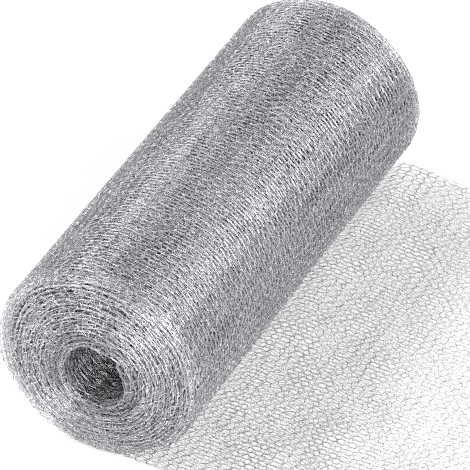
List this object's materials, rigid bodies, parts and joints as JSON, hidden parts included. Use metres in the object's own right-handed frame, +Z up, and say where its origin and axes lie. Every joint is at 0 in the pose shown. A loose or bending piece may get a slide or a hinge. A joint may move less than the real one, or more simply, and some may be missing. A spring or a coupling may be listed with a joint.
{
  "type": "roll of knitted stainless steel mesh",
  "caption": "Coreless roll of flattened knitted wire mesh, with its outer end lying flat beside it.",
  "frame": {"origin": "centre of the bore, at the middle of the roll's width", "axes": "+Y along the bore, +X the way the loose end runs out, +Z up"},
  "size_m": [0.2654, 0.206, 0.0808],
  "materials": {
    "steel_mesh": "bright drawn stainless steel wire, knitted in open loops"
  },
  "bodies": {
    "root": {"mesh_roll": "steel_mesh"}
  },
  "joints": []
}
